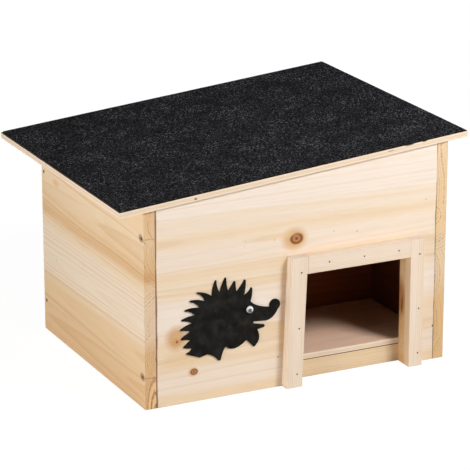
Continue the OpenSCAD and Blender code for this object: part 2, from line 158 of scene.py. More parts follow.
def shows_background(tree):
    """1 for the rays that see the background itself: from the camera, off metal and through glass."""
    path = wire(tree, "LightPath").node
    camera_ray, glossy_ray = path.outputs["Is Camera Ray"], path.outputs["Is Glossy Ray"]
    seen = wire(tree, "Math", camera_ray, glossy_ray, operation="MAXIMUM")
    return wire(tree, "Math", seen, path.outputs["Is Transmission Ray"], operation="MAXIMUM")


softbox("high_softbox", 29, 39.5, width=0.65, height=0.55, power=41.5)
softbox("right_softbox", 50, 3, width=1.6, height=0.5, power=12)
softbox("left_softbox", -75, 3, width=1.6, height=0.5, power=40.5)
softbox("back_softbox", 165, 7, width=1.6, height=0.5, power=8)
world = bpy.data.worlds.new("studio_walls")
scene.world = world
world.use_nodes = True
sky = world.node_tree
sky.nodes.clear()
# The studio's ceiling glows a little, most of all overhead; its walls stay dark
wall_top, overhead_glow = 0.4, 0.22
rise = wire(sky, "SeparateXYZ", wire(sky, "TexCoord", out="Generated")).node.outputs["Z"]
rise = wire(sky, "MapRange", rise, wall_top, 1.0, 0.0, overhead_glow)
dim = wire(sky, "Background", plain_white, rise)
white = wire(sky, "Background", plain_white, 1.0)
wire(sky, "OutputWorld", wire(sky, "MixShader", shows_background(sky), dim, white))

# %% [markdown]
# The paper under the house is pale and catches the shadow. More lamps could make it
# white, but they would wash out the wood too. Its own material lifts to white what the
# camera sees of it instead, so no extra light falls on the house.

# %% Studio paper
paper, tree = blank("studio_paper")
lifted_share, lifted_white = 0.9, 1.07
seen = shows_background(tree)
lift = wire(tree, "Math", seen, lifted_share, operation="MULTIPLY")
tint = wire(tree, "Mix", named={0: seen, 6: linear("#c8c8c6"), 7: linear("#f4f4f2")}, out=2, data_type="RGBA")
matte = wire(tree, "BsdfDiffuse", tint)
glow = wire(tree, "Emission", plain_white, lifted_white)
wire(tree, "OutputMaterial", wire(tree, "MixShader", lift, matte, glow))
mesh = bpy.data.meshes.new("studio_paper")
roll = bmesh.new()
just_under = Matrix.Translation((0, 0, -0.0005))
bmesh.ops.create_grid(roll, x_segments=4, y_segments=4, size=9.0, matrix=just_under)
roll.to_mesh(mesh)
roll.free()
mesh.materials.append(paper)
floor = bpy.data.objects.new("studio_paper", mesh)
scene.collection.objects.link(floor)
floor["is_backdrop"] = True
print("floor", [round(d, 1) for d in floor.dimensions], "m")

# %% [markdown]
# ## Softwood boards
# The walls are planed, untreated softwood, glued up from staves about 60 to 80 mm
# wide. A picture of wood on each face would not meet at the corners. A solid pattern
# does: it fills the board, and every face cuts through it, as lines along the board
# and as arcs on its end grain. It is measured in mm from one corner: x along the board,
# y in depth and z across it. The fibres wander a little, and the pattern with them.

# %% Places in a board
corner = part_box("left_wall")[0]
in_mm = (MM, MM, MM)
turns = {"X": (0.0, 0.0, 0.0), "Y": (0.0, 0.0, -math.pi / 2), "Z": (0.0, math.pi / 2, 0.0)}


def board_places(tree, seen, along, origin, seed):
    """The place of a point in the board, and the wander of its fibres, from -0.5 to 0.5."""
    turn = Euler(turns[along]).to_matrix()
    grain = wire(tree, "Mapping", seen.outputs["Object"], -MM * (turn @ Vector(origin)), turns[along], in_mm)
    # Slow: some 300 mm from one bend to the next along the board, and 60 mm across it
    slow = wire(tree, "VectorMath", grain, (1 / 300, 1 / 60, 1 / 60), operation="MULTIPLY")
    wander = wire(tree, "TexNoise", slow, named={"Scale": 1.0, "Detail": 2.0, "W": seed},
                  noise_dimensions="4D")
    return grain, wire(tree, "Math", wander, 0.5, operation="SUBTRACT")


print("walls are measured from the front left corner, at", [round(MM * c, 1) for c in corner], "mm")

# %% [markdown]
# A knot is the foot of a branch. It pushes the lines aside, so the points round each
# knot are pulled in towards it before the rings are measured, and the knot is painted
# over them: warm wood round it, then bark, wood and heart in rings. It is a little
# longer along the board than across it.

# %% Knots
knot_oval, halo_oval = (0.8, 0.0, 1.0), (0.85, 0.0, 1.0)
knot_rings = [(0.0, "#5a2c30"), (0.2, "#7c4638"), (0.34, "#b98058"), (0.48, "#b0784a"), (0.6, "#8a5428"),
              (0.7, "#704218"), (1.0, "#c08c4e")]


def bend_round(tree, grain, knots):
    """The places as the rings see them, and what paint_knots needs to know of each knot."""
    flow = grain
    knotted = []
    for along, across, size, strength, warm in knots:
        off = wire(tree, "VectorMath", grain, (along, 0.0, across), operation="SUBTRACT")
        far = wire(tree, "VectorMath", off, knot_oval, operation="MULTIPLY")
        far = wire(tree, "VectorMath", far, operation="LENGTH", out="Value")
        pull = wire(tree, "MapRange", far, 0.0, 1.4 * warm, 0.8, 0.0, interpolation_type="SMOOTHSTEP")
        pull = wire(tree, "VectorMath", off, named={"Scale": pull}, operation="SCALE")
        flow = wire(tree, "VectorMath", flow, pull, operation="SUBTRACT")
        knotted.append((far, off, size, strength, warm))
    return flow, knotted


def paint_knots(tree, colour, hair, knotted):
    for far, off, size, strength, warm in knotted:
        # The warm wood lies a little towards the start of the board
        halo = wire(tree, "VectorMath", off, (0.15 * warm, 0.0, 0.0), operation="ADD")
        halo = wire(tree, "VectorMath", halo, halo_oval, operation="MULTIPLY")
        halo = wire(tree, "VectorMath", halo, operation="LENGTH", out="Value")
        halo = wire(tree, "MapRange", halo, 0.4 * warm, warm, 0.8, 0.0, interpolation_type="SMOOTHSTEP")
        colour = wire(tree, "Mix", named={0: halo, 6: colour, 7: linear("#d4a468")}, out=2, data_type="RGBA")
        rough = wire(tree, "Math", hair, 0.25 * size, far, operation="MULTIPLY_ADD")
        heart = wire(tree, "MapRange", rough, 0.0, 1.4 * size, 0.0, 1.0)
        heart = wire(tree, "ValToRGB", heart, stops=knot_rings)
        edge = wire(tree, "MapRange", rough, 0.95 * size, 1.4 * size, strength, 0.0,
                    interpolation_type="SMOOTHSTEP")
        colour = wire(tree, "Mix", named={0: edge, 6: colour, 7: heart}, out=2, data_type="RGBA")
    return colour


print("knots are", 1 / knot_oval[0], "times as long as wide")

# %% [markdown]
# The rings are cylinders round a pith line beside the board. Each stave comes from
# another place in a log, so it has its own pith line, drawn from its number. A trunk
# gets thinner upwards, which lets the rings slant through the board, and wet and dry
# years make them uneven.

# %% Growth rings
ring_sway, taper, years_apart = 14.0, 0.012, 17.0


def growth_rings(tree, place, flow, wander, ring, pith, stave, seam, seed):
    """The late wood of each year, from 0 to 1. place: in the board; flow: bent round the knots."""
    number = wire(tree, "Math", place.outputs["Z"], seam, operation="SUBTRACT")
    number = wire(tree, "Math", number, stave, operation="DIVIDE")
    number = wire(tree, "Math", number, operation="FLOOR")
    draw = wire(tree, "Math", number, seed, operation="ADD")
    draw = wire(tree, "TexWhiteNoise", None, draw, out="Color", noise_dimensions="1D")
    draw = wire(tree, "SeparateColor", draw).node
    # Drawn: where the pith lies across the stave, and 0.6 to 1.4 times the depth that pith gives
    behind, aside = pith
    spread = 0.9 * stave
    nearest = seam + stave / 2 + aside - spread / 2
    middle = wire(tree, "Math", number, stave, nearest, operation="MULTIPLY_ADD")
    middle = wire(tree, "Math", draw.outputs[0], spread, middle, operation="MULTIPLY_ADD")
    depth = wire(tree, "Math", draw.outputs[1], 0.8 * behind, 0.6 * behind, operation="MULTIPLY_ADD")
    across = wire(tree, "Math", flow.outputs["Z"], middle, operation="SUBTRACT")
    across = wire(tree, "Math", wander, ring_sway, across, operation="MULTIPLY_ADD")
    inward = wire(tree, "Math", flow.outputs["Y"], depth, operation="SUBTRACT")
    spoke = wire(tree, "CombineXYZ", 0.0, inward, across)
    radius = wire(tree, "VectorMath", spoke, operation="LENGTH", out="Value")
    radius = wire(tree, "Math", flow.outputs["X"], taper, radius, operation="MULTIPLY_ADD")
    # Wet and dry years: rings of uneven width, some 15 mm from one change to the next
    weather = wire(tree, "Math", radius, 1 / 15, seed, operation="MULTIPLY_ADD")
    uneven = wire(tree, "TexNoise", named={"Scale": 1.0, "Detail": 1.0, "W": weather}, noise_dimensions="1D")
    radius = wire(tree, "Math", uneven, ring, radius, operation="MULTIPLY_ADD")
    # One year: pale early wood, then a darker band that ends sharply
    year = wire(tree, "Math", radius, ring, operation="DIVIDE")
    growth = wire(tree, "Math", year, operation="FRACT")
    late = wire(tree, "MapRange", growth, 0.3, 0.92, 0.0, 1.0, interpolation_type="SMOOTHSTEP")
    fade = wire(tree, "MapRange", growth, 0.92, 1.0, 1.0, 0.0)
    late = wire(tree, "Math", late, fade, operation="MULTIPLY")
    # No two years are alike, nor the same year in two staves
    which = wire(tree, "Math", year, operation="FLOOR")
    which = wire(tree, "Math", number, years_apart, which, operation="MULTIPLY_ADD")
    which = wire(tree, "TexWhiteNoise", None, which, out="Value", noise_dimensions="1D")
    which = wire(tree, "MapRange", which, 0.0, 1.0, 0.1, 1.0)
    return wire(tree, "Math", late, which, operation="MULTIPLY")


print("rings sway by", ring_sway / 2, "mm to either side and slant by", MM * taper, "mm in a metre")

# %% [markdown]
# End grain drinks light, so it is a darker tint of the board, with arcs that its pores
# break up. A board from the middle of the log shows its pith there: light, warm wood
# with brown rings.

# %% End grain
pores_per_mm = 0.35


def end_grain(tree, grain, tone, late, lines, end, hearts):
    sawn = wire(tree, "Mix", named={0: 1.0, 6: tone, 7: linear(end)}, out=2, data_type="RGBA",
                blend_type="MULTIPLY")
    pores = wire(tree, "TexNoise", grain, named={"Scale": pores_per_mm, "Detail": 4.0, "Roughness": 0.6})
    broken = wire(tree, "MapRange", pores, 0.42, 0.6, 0.1 * lines, 2.0 * lines)
    arcs = wire(tree, "Math", late, broken, operation="MULTIPLY")
    arcs = wire(tree, "Mix", named={0: arcs, 6: sawn, 7: linear("#bf9050")}, out=2, data_type="RGBA",
                blend_type="MULTIPLY")
    for spot, half in hearts:
        oval = wire(tree, "VectorMath", grain, spot, operation="SUBTRACT")
        oval = wire(tree, "VectorMath", oval, half, operation="DIVIDE")
        oval = wire(tree, "VectorMath", oval, operation="LENGTH", out="Value")
        brown = wire(tree, "Math", oval, 2.5, pores, operation="MULTIPLY_ADD")
        brown = wire(tree, "Math", brown, operation="FRACT")
        brown = wire(tree, "MapRange", brown, 0.5, 0.85, 0.0, 0.75, interpolation_type="SMOOTHSTEP")
        near = wire(tree, "MapRange", oval, 0.8, 1.2, 1.0, 0.0)
        arcs = wire(tree, "Mix", named={0: near, 6: arcs, 7: linear("#e6bf8e")}, out=2, data_type="RGBA")
        brown = wire(tree, "Math", brown, near, operation="MULTIPLY")
        arcs = wire(tree, "Mix", named={0: brown, 6: arcs, 7: linear("#8c5020")}, out=2, data_type="RGBA")
    grey = wire(tree, "MapRange", pores, 0.3, 0.7, 0.92, 1.06)
    return wire(tree, "VectorMath", arcs, named={"Scale": grey}, operation="SCALE")


print("pores are drawn some", round(1 / pores_per_mm, 1), "mm wide")

# %% [markdown]
# Marks are spots on the finished wood: resin flecks, stains and splits. Each is an oval
# with a frayed edge. Most go right through the board, so they are given by their place
# and half sizes along and across it alone.

# %% Marks
through = 99.0  # mm: more than any board is thick or any strip wide


def fleck_mark(along, across, half_along, half_across, strength, code="#4a2008"):
    return (along, 0.0, across), (half_along, through, half_across), strength, code


def paint_marks(tree, colour, grain, hair, marks):
    for spot, half, strength, code in marks:
        off = wire(tree, "VectorMath", grain, spot, operation="SUBTRACT")
        off = wire(tree, "VectorMath", off, half, operation="DIVIDE")
        off = wire(tree, "VectorMath", off, operation="LENGTH", out="Value")
        off = wire(tree, "Math", hair, 0.5, off, operation="MULTIPLY_ADD")
        off = wire(tree, "MapRange", off, 0.8, 1.4, strength, 0.0)
        colour = wire(tree, "Mix", named={0: off, 6: colour, 7: linear(code)}, out=2, data_type="RGBA")
    return colour


print("a fleck of 3 by 2 mm is written", fleck_mark(0, 0, 1.5, 1.0, 0.6))

# %% [markdown]
# The finish puts these together, from the inside out: the tones of the board, its
# rings, fibres and flecks, the knots, the end grain where a face looks along the board,
# and last the marks and the dark lines where it meets its neighbours.

# %% Softwood finish
tone_sway, joint_sway, faces_it = 12.0, 6.0, 0.7


def softwood(name, along, origin, tones, ring, pith, stave, lines, seed, seam=0.0, end="#f9f0e0",
             tinted=None, knots=(), hearts=(), marks=(), joints=()):
    """tones: (mm across the board, colour); ring: mm per year; pith: mm behind the face and aside;
    stave, seam: width of the staves and where one starts; lines: strength of the rings;
    end: tint of the end grain; tinted: axis, sign and tint of a face that differs from the rest;
    knots: (along, across, radius, strength, radius of the warm wood round it);
    hearts: place and half sizes of a pith that the end grain shows, with brown rings round it;
    marks: place and half sizes along the board, in depth and across it, strength, colour;
    joints: (mm along the board where it meets a neighbour, width). All in mm."""
    finish, tree = blank(name)
    seen = wire(tree, "TexCoord").node
    grain, wander = board_places(tree, seen, along, origin, seed)
    bent, knotted = bend_round(tree, grain, knots)
    place = wire(tree, "SeparateXYZ", grain).node
    flow = wire(tree, "SeparateXYZ", bent).node
    late = growth_rings(tree, place, flow, wander, ring, pith, stave, seam, seed)
    band = wire(tree, "Math", late, lines, operation="MULTIPLY")
    # Board tones, across the board, wavering with the fibres and bending round the knots
    low, high = tones[0][0], tones[-1][0]
    tone = wire(tree, "Math", wander, tone_sway, flow.outputs["Z"], operation="MULTIPLY_ADD")
    tone = wire(tree, "MapRange", tone, low, high, 0.0, 1.0)
    tone = wire(tree, "ValToRGB", tone, stops=[((mark - low) / (high - low), code) for mark, code in tones])
    colour = wire(tree, "Mix", named={0: band, 6: tone, 7: linear("#dfc28a")}, out=2, data_type="RGBA",
                  blend_type="MULTIPLY")
    # Fibres: 0.3 mm in the wood, drawn 1 mm wide and 45 mm long to show in the picture
    hair = wire(tree, "VectorMath", grain, (1 / 45, 1.0, 1.0), operation="MULTIPLY")
    hair = wire(tree, "TexNoise", hair, named={"Scale": 1.0, "Detail": 3.0, "Roughness": 0.6})
    shade = wire(tree, "MapRange", hair, 0.3, 0.7, 0.94, 1.03)
    colour = wire(tree, "VectorMath", colour, named={"Scale": shade}, operation="SCALE")
    # Resin flecks: short brown dashes, one in about 30 mm
    fleck = wire(tree, "VectorMath", grain, (1 / 45, 1 / 30, 1 / 26), operation="MULTIPLY")
    fleck = wire(tree, "TexVoronoi", fleck, named={"Scale": 1.0, "Randomness": 1.0}, out="Distance")
    fleck = wire(tree, "MapRange", fleck, 0.02, 0.055, 0.4, 0.0)
    colour = wire(tree, "Mix", named={0: fleck, 6: colour, 7: linear("#9a6a3a")}, out=2, data_type="RGBA")
    colour = paint_knots(tree, colour, hair, knotted)
    facing = wire(tree, "SeparateXYZ", seen.outputs["Normal"]).node
    cut = wire(tree, "Math", facing.outputs[along], operation="ABSOLUTE")
    cut = wire(tree, "Math", cut, faces_it, operation="GREATER_THAN")
    arcs = end_grain(tree, grain, tone, late, lines, end, hearts)
    colour = wire(tree, "Mix", named={0: cut, 6: colour, 7: arcs}, out=2, data_type="RGBA")
    if tinted:
        axis, sign, tint = tinted
        differs = wire(tree, "Math", facing.outputs[axis], sign, operation="MULTIPLY")
        differs = wire(tree, "Math", differs, faces_it, operation="GREATER_THAN")
        colour = wire(tree, "Mix", named={0: differs, 6: colour, 7: linear(tint)}, out=2, data_type="RGBA",
                      blend_type="MULTIPLY")
    colour = paint_marks(tree, colour, grain, hair, marks)
    for joint, width in joints:
        gap = wire(tree, "Math", place.outputs["X"], joint, operation="SUBTRACT")
        gap = wire(tree, "Math", gap, operation="ABSOLUTE")
        gap = wire(tree, "Math", wander, joint_sway, gap, operation="MULTIPLY_ADD")
        gap = wire(tree, "MapRange", gap, 0.4 * width, width, 0.9, 0.0)
        colour = wire(tree, "Mix", named={0: gap, 6: colour, 7: linear("#6a380c")}, out=2, data_type="RGBA")
    # Edges eased by sandpaper; fibres and late wood stand a little proud of the planed face
    soft = wire(tree, "Bevel", 0.0009, samples=6)
    relief = wire(tree, "Math", band, 0.5, hair, operation="MULTIPLY_ADD")
    relief = wire(tree, "Bump", named={"Strength": 0.35, "Distance": 0.0003, "Height": relief,
                                       "Normal": soft})
    shine = wire(tree, "MapRange", hair, 0.3, 0.7, 0.68, 0.54)
    wood = wire(tree, "BsdfPrincipled", named={"Base Color": colour, "Roughness": shine, "Normal": relief,
                                               "IOR": 1.45, "Specular IOR Level": 0.25})
    wire(tree, "OutputMaterial", wood)
    return finish


print("end grain: faces within", round(math.degrees(math.acos(faces_it))), "degrees of the board's end")

# %% [markdown]
# The front panel is the one that is looked at, so it has the most detail: soft streaks
# along the board, a large knot and a small one, a brown blotch round a pin knot, a few
# resin flecks, and a warm painted shadow beside the left jamb, where the jamb casts
# its shade. One more knot was cut through when the entrance was sawn out, and its heart
# shows on the sawn side.
# The list of tones sets a few named tones at their heights, in mm, and the ramp blends
# from each to the next, as the wood does.

# %% Front panel
def dress(finish, *names):
    for name in names:
        part[name].data.materials.clear()
        part[name].data.materials.append(finish)
    print(finish.name, "on", ", ".join(names))


ivory, rose, flax, wheat = "#eedbc8", "#f0e0d1", "#edd8bf", "#ebd1b0"
# The faces inside the house get this dark tint: painted shade of the dark inside, on wood rough from the saw
sawn_inside_shade = "#7c5230"
inner_left = MM * (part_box("front_panel")[0].x - corner.x)
inner_right = MM * (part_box("front_panel")[1].x - corner.x)
jamb_side = MM * (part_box("door_jamb_left")[0].x - corner.x)
front_tones = [(0, wheat), (11, wheat), (19, ivory), (40, ivory), (57, wheat), (69, flax), (86, wheat),
               (102, ivory), (118, rose), (134, rose), (148, ivory), (157, wheat), (166, flax), (183, wheat),
               (194, ivory), (214, ivory), (222, flax), (230, wheat), (239, flax), (247, ivory), (254, flax),
               (264, rose)]
front_knots = [(226, 210, 7.8, 1.0, 21), (47, 90, 1.7, 0.95, 8), (72, 43.2, 4.4, 0.95, 8.5)]
resin_flecks = [fleck_mark(199, 43.2, 1.6, 0.9, 0.7), fleck_mark(193, 212.6, 1.6, 0.7, 0.5),
                fleck_mark(283, 212.5, 1.3, 0.8, 0.5), fleck_mark(319, 207.4, 1.5, 0.8, 0.6),
                fleck_mark(427, 238.5, 1.3, 0.8, 0.5), fleck_mark(inner_right - 1, 50, 2.0, 1.8, 0.95)]
streak_by_knot = fleck_mark(190, 217, 40, 5, 0.5, "#e3c08c")
tan_under_blotch = fleck_mark(60, 66, 44, 13, 0.45, "#dfba88")
blotch = fleck_mark(46, 95, 16.5, 18.5, 0.82, "#cd9b68")
pin_knot = fleck_mark(47, 90, 2.2, 2.2, 0.8, "#84492a")
# Painted shadow: the warm shade that the left jamb casts on the panel beside it
shadow_by_jamb = fleck_mark(jamb_side + 4, 92, 8, 96, 0.45, "#d9a868")
sawn_knot = (397, 15, 95), (4, 17, 32), 0.75, "#a8622e"
sawn_knot_heart = (397, 8, 86), (4, 2, 14), 0.8, "#5e2c10"
front_marks = [*resin_flecks, streak_by_knot, tan_under_blotch, blotch, pin_knot, shadow_by_jamb, sawn_knot,
               sawn_knot_heart]
dress(softwood("front_softwood", "X", corner, front_tones, ring=4.6, pith=(60, 0), stave=82, seam=21,
               lines=0.25, seed=3.0, end="#f6dcb4", tinted=("Y", 1.0, sawn_inside_shade), knots=front_knots,
               marks=front_marks, joints=((inner_left, 2.8), (inner_right, 1.5))), "front_panel")

# %% [markdown]
# The other boards take the same finish with their own tones. The left wall is the
# honey-coloured one: a darker streak at two thirds of its height, an amber one high up
# near the back, and a brown heartwood zone near the ground, where its end grain shows
# the rings round the pith. Its upper nail and its lower nail have split the end grain
# as far as the joint, which the marks draw. The faces inside the house are rough from
# the saw, and are painted much darker than the planed ones: painted shade of the dark
# inside. The baffle's dark red-brown is painted shade of the inside too.

# %% Side walls, back and baffle
cream, sand, straw, honey = "#ead6be", "#e8cfae", "#e2c299", "#dbb488"
nail_low, nail_high = 45, 240
left_tones = [(0, honey), (60, straw), (78, straw), (100, cream), (155, cream), (174, sand), (183, honey),
              (191, honey), (198, straw), (234, sand), (292, straw)]
left_marks = []
for z in (nail_low, nail_high):
    split = fleck_mark(2, z, 8, 0.7, 0.35, "#6a3208")
    iron_stain = fleck_mark(9, z, 8, 6, 0.7, "#6e441c")
    back_stain = fleck_mark(350, z, 3.0, 3.0, 0.8)
    left_marks += [split, iron_stain, back_stain]
amber_streak = fleck_mark(305, 235, 13, 5, 0.5, "#dc9f62")
left_marks.append(amber_streak)
left_pith = (0, -15, -4), (through, 13, 50)
dress(softwood("left_softwood", "Y", corner, left_tones, ring=3.4, pith=(-45, 0), stave=61.5, seam=47,
               lines=0.5, seed=11.0, end="#f6ece0", tinted=("X", 1.0, sawn_inside_shade), hearts=[left_pith],
               marks=left_marks), "left_wall")
right_tones = [(0, straw), (88, straw), (128, cream), (178, cream), (192, sand), (236, sand), (330, cream)]
right_knots = [(120, 180, 5.0, 1.0, 12), (262, 84, 4.0, 1.0, 10)]
dress(softwood("right_softwood", "Y", corner, right_tones, ring=4.4, pith=(-450, 0), stave=66, seam=30,
               lines=0.55, seed=23.0, tinted=("X", -1.0, sawn_inside_shade), knots=right_knots), "right_wall")
back_tones = [(0, straw), (80, cream), (160, sand), (250, ivory), (330, cream)]
back_knots = [(130, 220, 6.0, 1.0, 15), (330, 120, 5.0, 0.9, 12), (250, 60, 3.5, 0.9, 9)]
dress(softwood("back_softwood", "X", corner, back_tones, ring=6.0, pith=(330, 0), stave=78, seam=40,
               lines=0.5, seed=37.0, tinted=("Y", -1.0, sawn_inside_shade), knots=back_knots), "back_panel")
# The baffle's dark red-brown is painted shade: it stands for the dark inside of the house
baffle_shade_tones = [(0, "#84421a"), (120, "#8a471d"), (330, "#863f18")]
dress(softwood("baffle_softwood", "X", corner, baffle_shade_tones, ring=5.5, pith=(230, 0), stave=74, seam=12,
               lines=0.55, seed=51.0, knots=[(260, 150, 5.0, 0.6, 12)]), "baffle_wall")

# %% [markdown]
# The door frame and the floor battens are narrow strips, planed on three sides. They
# are sawn from straight wood far from the pith, so their rings run as fine, nearly
# parallel lines along the strip. Round each brad the iron has stained the wood brown,
# and a faint seam shows where the lintel meets the jambs. The side of the right jamb
# that faces the entrance is painted warmer than the rest: painted light, for the warm
# light that the wood inside throws on it. The lintel's top is painted a touch cooler:
# painted light, a correction for how the light falls on that face.

# %% Door frame and battens
def strip(node, along, tones, ring, aside, seed, brads=(), seams=(), tinted=None):
    """brads: (mm along the strip, mm across it); seams: mm along it; the rest as in softwood()."""
    low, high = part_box(node)
    start = Vector((high.x, low.y, low.z)) if along == "Z" else low
    stains = [fleck_mark(g, w, 1.5, 1.5, 0.6) for g, w in brads]
    stains += [fleck_mark(g, 0, 0.5, through, 0.45, "#a87848") for g in seams]
    dress(softwood(node + "_softwood", along, start, tones, ring, pith=(40, aside), stave=60, lines=0.3,
                   seed=seed, end="#f3f8ff", tinted=tinted, marks=stains), node)


pale = [(0, "#e6d0b8"), (12, "#ebd8c4"), (34, "#e9d4bf")]
strip("door_jamb_left", "Z", pale, ring=2.6, aside=96.3, seed=61.0,
      brads=((19, 15.2), (85, 12.6), (165, 9.4)))
# The side facing the entrance is tinted warm: painted light, for the warm light from the wood inside
strip("door_jamb_right", "Z", pale, ring=2.4, aside=-80, seed=67.0, brads=((19, 7), (85, 7), (165, 7)),
      tinted=("X", -1.0, "#fff0d8"))
lintel_long = MM * (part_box("door_lintel")[1].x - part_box("door_lintel")[0].x)
# The top face is tinted a touch cooler: painted light, a correction for how light falls on it
strip("door_lintel", "X", pale, ring=2.8, aside=91.4, seed=71.0,
      brads=((34, 12.5), (88.2, 12.5), (142.5, 12.5)), seams=(2.0, lintel_long), tinted=("Z", 1.0, "#fdffff"))
light_honey = [(0, "#e4c5a0"), (12, "#e9cfab"), (25, "#e7caa4")]
strip("floor_batten_front", "X", light_honey, ring=3.2, aside=70, seed=73.0)
strip("floor_batten_back", "X", light_honey, ring=3.4, aside=-70, seed=79.0)

# %% [markdown]
# ## Plywood
# Roof and floor are thin plywood. Its faces are peeled veneer with a wide, calm figure;
# its sawn edge shows three layers, the outer two along the board and a core across it,
# with a fine darker glue line between them. The pattern is set up in the board's own
# frame, so for the roof the coordinates are turned by the slope.

# %% Plywood finish
left_top, right_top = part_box("left_wall")[1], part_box("right_wall")[1]
slope = math.atan((right_top.z - left_top.z) / (right_top.x - left_top.x))
sloped = Euler((0.0, slope, 0.0)).to_matrix()


def roof_box(node):
    points = [sloped @ (v.co - corner) for v in part[node].data.vertices]
    return Vector(map(min, *points)), Vector(map(max, *points))


board_low, board_high = roof_box("roof_board")


def plywood(name, origin, turn, thick, face, core, seed, foot=None, felt_edge_and_shade=None, marks=()):
    """face: three tones of the veneer; core: outer layers, inner layer and adhesive line of the sawn edge;
    foot: tone at the edge's underside; felt_edge_and_shade: dark tone painted on the upper face, for the
    felt's cut edge and painted shade beside it;
    marks: place and half sizes on the front edge, in mm, and colour."""
    finish, tree = blank(name)
    seen = wire(tree, "TexCoord").node
    grain = wire(tree, "Mapping", seen.outputs["Object"], -MM * Vector(origin), turn, in_mm)
    place = wire(tree, "SeparateXYZ", grain).node
    # Peeled veneer: broad flames, some 240 mm long and 28 mm wide
    flame = wire(tree, "VectorMath", grain, (1 / 240, 1 / 28, 1 / 28), operation="MULTIPLY")
    flame = wire(tree, "TexNoise", flame, named={"Scale": 1.0, "Detail": 3.0, "Distortion": 0.6, "W": seed},
                 noise_dimensions="4D")
    hair = wire(tree, "VectorMath", grain, (1 / 40, 1 / 1.1, 1 / 1.1), operation="MULTIPLY")
    hair = wire(tree, "TexNoise", hair, named={"Scale": 1.0, "Detail": 3.0, "Roughness": 0.6})
    veneer = wire(tree, "ValToRGB", flame, stops=[(0.3, face[0]), (0.5, face[1]), (0.7, face[2])])
    # Layers, from the underside up, as shares of the thickness
    layer = wire(tree, "MapRange", place.outputs["Z"], 0.0, thick, 0.0, 1.0)
    end = wire(tree, "TexNoise", grain, named={"Scale": 1.2, "Detail": 3.0})
    outer, inner, line = core
    layers = wire(tree, "ValToRGB", layer, stops=[
        (0.0, foot or outer), (0.08, foot or outer), (0.2, outer), (0.30, outer), (0.33, line), (0.36, inner),
        (0.64, inner), (0.67, line), (0.70, outer), (1.0, outer)])
    grey = wire(tree, "MapRange", end, 0.3, 0.7, 0.92, 1.05)
    layers = wire(tree, "VectorMath", layers, named={"Scale": grey}, operation="SCALE")
    upward = wire(tree, "SeparateXYZ", seen.outputs["Normal"]).node.outputs["Z"]
    # The upper face is painted dark brown: it stands for the felt's brown cut edge and painted shade beside
    # the bare strip
    if felt_edge_and_shade:
        felt_edge_and_shade_mask = wire(tree, "MapRange", upward, 0.7, 0.9, 0.0, 1.0)
        veneer = wire(tree, "Mix", named={0: felt_edge_and_shade_mask, 6: veneer, 7: linear(felt_edge_and_shade)}, out=2, data_type="RGBA")
    flat = wire(tree, "Math", upward, operation="ABSOLUTE")
    flat = wire(tree, "Math", flat, 0.7, operation="GREATER_THAN")
    colour = wire(tree, "Mix", named={0: flat, 6: layers, 7: veneer}, out=2, data_type="RGBA")
    shade = wire(tree, "MapRange", hair, 0.3, 0.7, 0.95, 1.03)
    colour = wire(tree, "VectorMath", colour, named={"Scale": shade}, operation="SCALE")
    for x, z, half_x, half_z, code in marks:
        off = wire(tree, "VectorMath", grain, (x, 0.0, z), operation="SUBTRACT")
        off = wire(tree, "VectorMath", off, (1 / half_x, 0.0, 1 / half_z), operation="MULTIPLY")
        off = wire(tree, "VectorMath", off, operation="LENGTH", out="Value")
        off = wire(tree, "Math", end, 0.9, off, operation="MULTIPLY_ADD")
        off = wire(tree, "MapRange", off, 1.1, 1.6, 0.9, 0.0)
        front = wire(tree, "Math", place.outputs["Y"], 1.0, operation="LESS_THAN")
        off = wire(tree, "Math", off, front, operation="MULTIPLY")
        colour = wire(tree, "Mix", named={0: off, 6: colour, 7: linear(code)}, out=2, data_type="RGBA")
    soft = wire(tree, "Bevel", 0.0006, samples=6)
    relief = wire(tree, "Bump", named={"Strength": 0.3, "Distance": 0.0002, "Height": hair, "Normal": soft})
    shine = wire(tree, "MapRange", hair, 0.3, 0.7, 0.66, 0.52)
    wood = wire(tree, "BsdfPrincipled", named={"Base Color": colour, "Roughness": shine, "Normal": relief,
                                               "IOR": 1.45, "Specular IOR Level": 0.25})
    wire(tree, "OutputMaterial", wood)
    return finish


roof_sizes = [round(MM * d, 1) for d in board_high - board_low]
print("roof board", roof_sizes, "mm, sloping by", round(math.degrees(slope), 2), "degrees")

# %% [markdown]
# The roof board has a pin knot and some dark smears on its front edge, and its upper
# face, of which the felt leaves only a narrow strip bare, is painted dark brown: that
# stands for the felt's brown cut edge and painted shade beside it. The floor is a
# pinker veneer, and its edge is dark where it rests on the batten.

# %% Roof board and floor board
roof_start = sloped @ corner + board_low
roof_thick = MM * (board_high.z - board_low.z)
roof_marks = [(109.6, 3.0, 2.2, 1.6, "#8a4f2c"), (405, 5.2, 6.0, 0.6, "#7d6a45"),
              (434, 7.6, 8.0, 1.1, "#1c1512"), (458, 7.7, 4.0, 1.0, "#1c1512")]
# Its upper face is painted dark brown, for the felt's cut edge and painted shade beside it
dress(plywood("roof_plywood", roof_start, (0.0, slope, 0.0), roof_thick,
              face=("#e2c7a6", "#ead3b6", "#eed9c0"), core=("#efdac2", "#e9cfb2", "#d6b48d"), seed=5.0,
              felt_edge_and_shade="#2c1b10", marks=roof_marks), "roof_board")
low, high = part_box("floor_board")
floor_thick = MM * (high.z - low.z)
dress(plywood("floor_plywood", low, (0.0, 0.0, 0.0), floor_thick,
              face=("#ecc2a6", "#f2ceb4", "#f8dac4"), core=("#efdcc6", "#e8d0b4", "#d6b894"), seed=9.0,
              foot="#6a3a12"), "floor_board")

# %% [markdown]
# ## Roofing felt
# The felt is a bitumen sheet rolled in fine slate granules. The solid is a plain slab,
# so the sheet is modelled again: a grid, thickened, with its top edge rounded and its
# cut wandering by a few tenths of a millimetre, always inwards. A grid bends and cuts
# more naturally than a stretched cube, and bevel rounds only the rim.

